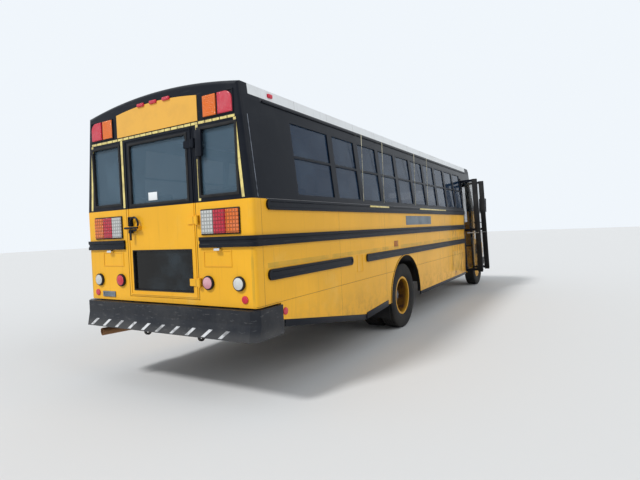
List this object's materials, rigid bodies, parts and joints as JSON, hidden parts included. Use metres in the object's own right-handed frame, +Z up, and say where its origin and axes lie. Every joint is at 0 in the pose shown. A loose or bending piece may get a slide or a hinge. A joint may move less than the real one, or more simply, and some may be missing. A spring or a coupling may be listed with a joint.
{
  "type": "school bus",
  "caption": "School bus with a tilting front hood, twin rear wheels, folding entrance door, rear emergency door and a full row of seats.",
  "frame": {"origin": "on the ground under the middle of the overall length, on the body's centre plane", "axes": "+X forward, +Y to the driver's side (left), +Z up"},
  "size_m": [10.373, 3.1003, 3.126],
  "materials": {
    "bus_yellow": "gloss",
    "trim_black": "satin",
    "roof_white": "satin",
    "chassis_black": "matte",
    "glass": "clear",
    "aluminium": "satin",
    "tyre": "matte",
    "wheel_yellow": "satin",
    "rubber_floor": "matte",
    "seat_vinyl": "satin",
    "steel_grey": "satin",
    "rusty_steel": "matte",
    "cast_iron": "matte",
    "dash_black": "matte",
    "lens_red": "gloss",
    "lens_amber": "gloss",
    "lens_clear": "gloss",
    "rubber": "matte",
    "sign_red": "gloss"
  },
  "bodies": {
    "body": {"side_wall_right": "bus_yellow", "side_wall_left": "bus_yellow", "window_frames": "trim_black", "roof": "roof_white", "end_caps": "trim_black", "rear_wall": "bus_yellow", "cowl": "bus_yellow", "body_glass": "glass", "floor": "rubber_floor", "wheel_boxes": "rubber_floor", "entrance_steps": "rubber_floor", "rub_rails": "trim_black", "bumpers": "trim_black", "frame_rails": "chassis_black", "crossmembers": "chassis_black", "leaf_springs": "chassis_black", "rear_axle": "chassis_black", "driveshaft": "steel_grey", "front_axle": "chassis_black", "engine": "cast_iron", "exhaust": "rusty_steel", "fuel_tank": "chassis_black", "seat_frames": "steel_grey", "seat_cushions": "seat_vinyl", "dashboard": "dash_black", "driver_seat": "seat_vinyl", "mirrors": "trim_black", "lamps_red": "lens_red", "lamps_amber": "lens_amber", "lamps_clear": "lens_clear", "mud_flaps": "rubber"},
    "hood": {"hood": "bus_yellow", "grille": "trim_black", "headlamps": "lens_clear"},
    "knuckle_left": {"knuckle_left": "chassis_black"},
    "knuckle_right": {"knuckle_right": "chassis_black"},
    "tie_rod": {"tie_rod": "steel_grey"},
    "wheel_front_left": {"front_tyre_left": "tyre", "front_rim_left": "wheel_yellow"},
    "wheel_front_right": {"front_tyre_right": "tyre", "front_rim_right": "wheel_yellow"},
    "wheels_rear_left": {"rear_tyres_left": "tyre", "rear_rims_left": "wheel_yellow"},
    "wheels_rear_right": {"rear_tyres_right": "tyre", "rear_rims_right": "wheel_yellow"},
    "rear_door": {"rear_door": "bus_yellow", "rear_door_glass": "glass"},
    "door_leaf_rear": {"door_leaf_rear": "trim_black", "door_glass_rear": "glass"},
    "door_leaf_front": {"door_leaf_front": "trim_black", "door_glass_front": "glass"},
    "stop_arm": {"stop_arm": "sign_red"},
    "hatch_rear": {"hatch_rear": "roof_white"},
    "hatch_front": {"hatch_front": "roof_white"},
    "steering_wheel": {"steering_wheel": "dash_black"}
  },
  "joints": [
    {"name": "steer_left", "type": "hinge", "parent": "body", "child": "knuckle_left", "pos_m": [4.2265, 0.93, 0.505], "axis": [0, 0, 1], "range_deg": [-35, 35]},
    {"name": "steer_right", "type": "hinge", "parent": "body", "child": "knuckle_right", "pos_m": [4.2265, -0.93, 0.505], "axis": [0, 0, 1], "range_deg": [-35, 35]},
    {"name": "tie_rod_pivot", "type": "hinge", "parent": "knuckle_left", "child": "tie_rod", "pos_m": [4.0365, 0.87, 0.38], "axis": [0, 0, 1], "range_deg": [-35, 35]},
    {"name": "steering_wheel_turn", "type": "hinge", "parent": "body", "child": "steering_wheel", "pos_m": [3.1935, 0.7, 1.56], "axis": [-0.848, 0, 0.5299], "range_deg": [-420, 420]},
    {"name": "roll_front_left", "type": "hinge", "parent": "knuckle_left", "child": "wheel_front_left", "pos_m": [4.2265, 1.035, 0.505], "axis": [0, 1, 0], "continuous": true},
    {"name": "roll_front_right", "type": "hinge", "parent": "knuckle_right", "child": "wheel_front_right", "pos_m": [4.2265, -1.035, 0.505], "axis": [0, 1, 0], "continuous": true},
    {"name": "roll_rear_left", "type": "hinge", "parent": "body", "child": "wheels_rear_left", "pos_m": [-1.3365, 0.886, 0.505], "axis": [0, 1, 0], "continuous": true},
    {"name": "roll_rear_right", "type": "hinge", "parent": "body", "child": "wheels_rear_right", "pos_m": [-1.3365, -0.886, 0.505], "axis": [0, 1, 0], "continuous": true},
    {"name": "hood_tilt", "type": "hinge", "parent": "body", "child": "hood", "pos_m": [5.1235, 0, 0.68], "axis": [0, 1, 0], "range_deg": [0, 60]},
    {"name": "entrance_leaf_rear_close", "type": "hinge", "parent": "body", "child": "door_leaf_rear", "pos_m": [2.6955, -1.21856, 0.496], "axis": [0, 0.037, 0.9993], "range_deg": [0, 90]},
    {"name": "entrance_leaf_front_close", "type": "hinge", "parent": "body", "child": "door_leaf_front", "pos_m": [3.4715, -1.21856, 0.496], "axis": [0, 0.037, 0.9993], "range_deg": [-90, 0]},
    {"name": "rear_door_open", "type": "hinge", "parent": "body", "child": "rear_door", "pos_m": [-5.1225, -0.55, 1.8], "axis": [0, 0, 1], "range_deg": [0, 110]},
    {"name": "stop_arm_out", "type": "hinge", "parent": "body", "child": "stop_arm", "pos_m": [3.4235, 1.271, 1.73], "axis": [0, 0, -1], "range_deg": [0, 90]},
    {"name": "hatch_rear_lift", "type": "hinge", "parent": "body", "child": "hatch_rear", "pos_m": [-2.3085, 0, 3.09], "axis": [0, 1, 0], "range_deg": [0, 60]},
    {"name": "hatch_front_lift", "type": "hinge", "parent": "body", "child": "hatch_front", "pos_m": [1.4415, 0, 3.09], "axis": [0, 1, 0], "range_deg": [0, 60]}
  ],
  "couplings": [
    {"joint": "steer_right", "follows": "steer_left", "ratio": 1},
    {"joint": "tie_rod_pivot", "follows": "steer_left", "ratio": -1},
    {"joint": "steering_wheel_turn", "follows": "steer_left", "ratio": 12},
    {"joint": "entrance_leaf_front_close", "follows": "entrance_leaf_rear_close", "ratio": -1}
  ]
}
